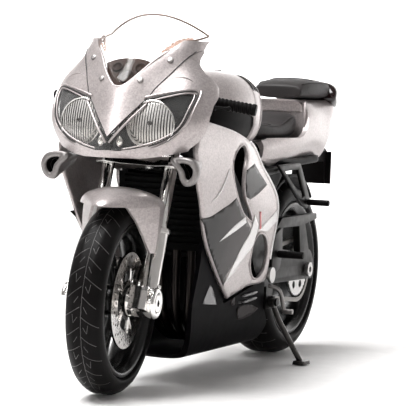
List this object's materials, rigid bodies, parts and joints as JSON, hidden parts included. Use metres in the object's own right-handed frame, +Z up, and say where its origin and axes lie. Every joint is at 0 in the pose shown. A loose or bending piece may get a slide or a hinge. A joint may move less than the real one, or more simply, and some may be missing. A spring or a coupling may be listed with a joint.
{
  "type": "scale model motorcycle",
  "caption": "Display-scale faired sport motorcycle with steering fork, sprung swing arm, rolling wheels and a folding side stand.",
  "frame": {"origin": "centre of the overall length and width, on the ground", "axes": "-Y to the front wheel, +X to the rider's left, +Z up"},
  "size_m": [0.0375, 0.1156, 0.0657],
  "materials": {
    "tyre": "matt moulded rubber",
    "dark_wheel": "dark grey satin paint",
    "disc_metal": "drilled brushed steel",
    "steel": "plain steel",
    "chain_steel": "dull oiled steel",
    "chrome": "bright plated",
    "fork_metal": "bright silver",
    "caliper_metal": "cast alloy",
    "silver_paint": "metallic silver with visible flake, gloss lacquer",
    "cast_grey": "cast alloy",
    "satin_black_metal": "satin black",
    "grip_rubber": "ribbed rubber",
    "black_plastic": "moulded, fine grain",
    "clear_lens": "clear moulded lens",
    "reflector": "fluted bright bowl",
    "clear_screen": "clear bubble",
    "brown_gloss": "dark brown gloss",
    "black_gloss": "gloss black",
    "seat_vinyl": "soft grained vinyl",
    "red_lens": "red lens",
    "grey_frame": "satin grey",
    "engine_grey": "satin grey casting",
    "engine_cover": "satin alloy cover",
    "radiator_black": "matt black fins",
    "header_steel": "heat tinted steel",
    "muffler_metal": "brushed can",
    "spring_steel": "painted spring",
    "stand_black": "satin black"
  },
  "bodies": {
    "chassis": {"main_frame": "grey_frame", "subframe": "black_plastic", "crankcase": "engine_grey", "cylinder_block": "engine_grey", "cylinder_head": "engine_grey", "engine_covers": "engine_cover", "radiator": "radiator_black", "exhaust_headers": "header_steel", "muffler": "muffler_metal", "fuel_tank": "silver_paint", "fuel_cap": "cast_grey", "upper_fairing": "silver_paint", "nose_panel": "silver_paint", "headlight_housing": "black_plastic", "headlight_reflectors": "reflector", "headlight_lens": "clear_lens", "windscreen": "clear_screen", "instrument_panel": "brown_gloss", "left_intake": "black_plastic", "right_intake": "black_plastic", "left_side_fairing": "silver_paint", "right_side_fairing": "silver_paint", "belly_pan": "black_gloss", "tail_cowl": "silver_paint", "rider_seat": "seat_vinyl", "passenger_seat": "seat_vinyl", "tail_light": "red_lens", "rear_fender": "black_plastic", "peg_brackets": "grey_frame", "foot_pegs": "black_plastic", "shift_lever": "cast_grey", "brake_pedal": "cast_grey", "fairing_screws": "silver_paint", "swingarm_pin": "steel", "shock_body": "cast_grey"},
    "steering": {"lower_clamp": "chrome", "upper_clamp": "cast_grey", "fork_tubes": "chrome", "clip_ons": "satin_black_metal", "grips": "grip_rubber", "levers": "satin_black_metal", "switch_boxes": "black_plastic"},
    "fork_lower": {"fork_sliders": "fork_metal", "front_fender": "silver_paint", "front_axle": "chrome", "front_calipers": "caliper_metal"},
    "front_wheel": {"front_rim": "dark_wheel", "front_tyre": "tyre", "front_discs": "disc_metal"},
    "swingarm": {"swingarm": "grey_frame", "rear_axle": "steel", "drive_chain": "chain_steel", "rear_caliper": "caliper_metal"},
    "rear_wheel": {"rear_rim": "dark_wheel", "rear_tyre": "tyre", "rear_sprocket": "steel", "rear_disc": "disc_metal"},
    "shock": {"shock_rod": "steel", "shock_spring": "spring_steel"},
    "side_stand": {"side_stand": "stand_black"}
  },
  "joints": [
    {"name": "steering_head", "type": "hinge", "parent": "chassis", "child": "steering", "pos_m": [0, -0.03891, 0.01568], "axis": [0, 0.342, 0.9397], "range_deg": [-20.5, 9.5]},
    {"name": "fork_travel", "type": "slide", "parent": "steering", "child": "fork_lower", "axis": [0, 0.342, 0.9397], "range_m": [0, 0.003], "stiffness_N_per_m": 400, "springref_m": -0.0015},
    {"name": "front_wheel_spin", "type": "hinge", "parent": "fork_lower", "child": "front_wheel", "pos_m": [0.00025, -0.04149, 0.0163], "axis": [0.9954, 0.0901, -0.0328], "continuous": true},
    {"name": "swingarm_pivot", "type": "hinge", "parent": "chassis", "child": "swingarm", "pos_m": [0, 0.0075, 0.018], "axis": [1, 0, 0], "range_deg": [0, 5], "stiffness_Nm_per_rad": 0.3, "springref_deg": -4.58},
    {"name": "rear_wheel_spin", "type": "hinge", "parent": "swingarm", "child": "rear_wheel", "pos_m": [0, 0.0354, 0.0172], "axis": [1, 0, 0], "continuous": true},
    {"name": "shock_travel", "type": "slide", "parent": "chassis", "child": "shock", "axis": [0, 0, 1], "range_m": [0, 0.0006], "deforming": ["shock_spring"]},
    {"name": "side_stand_fold", "type": "hinge", "parent": "chassis", "child": "side_stand", "pos_m": [0.0096, 0.0115, 0.0125], "axis": [1, 0, 0], "range_deg": [0, 78]}
  ],
  "couplings": [
    {"joint": "shock_travel", "follows": "swingarm_pivot", "m_per_rad": 0.006}
  ]
}
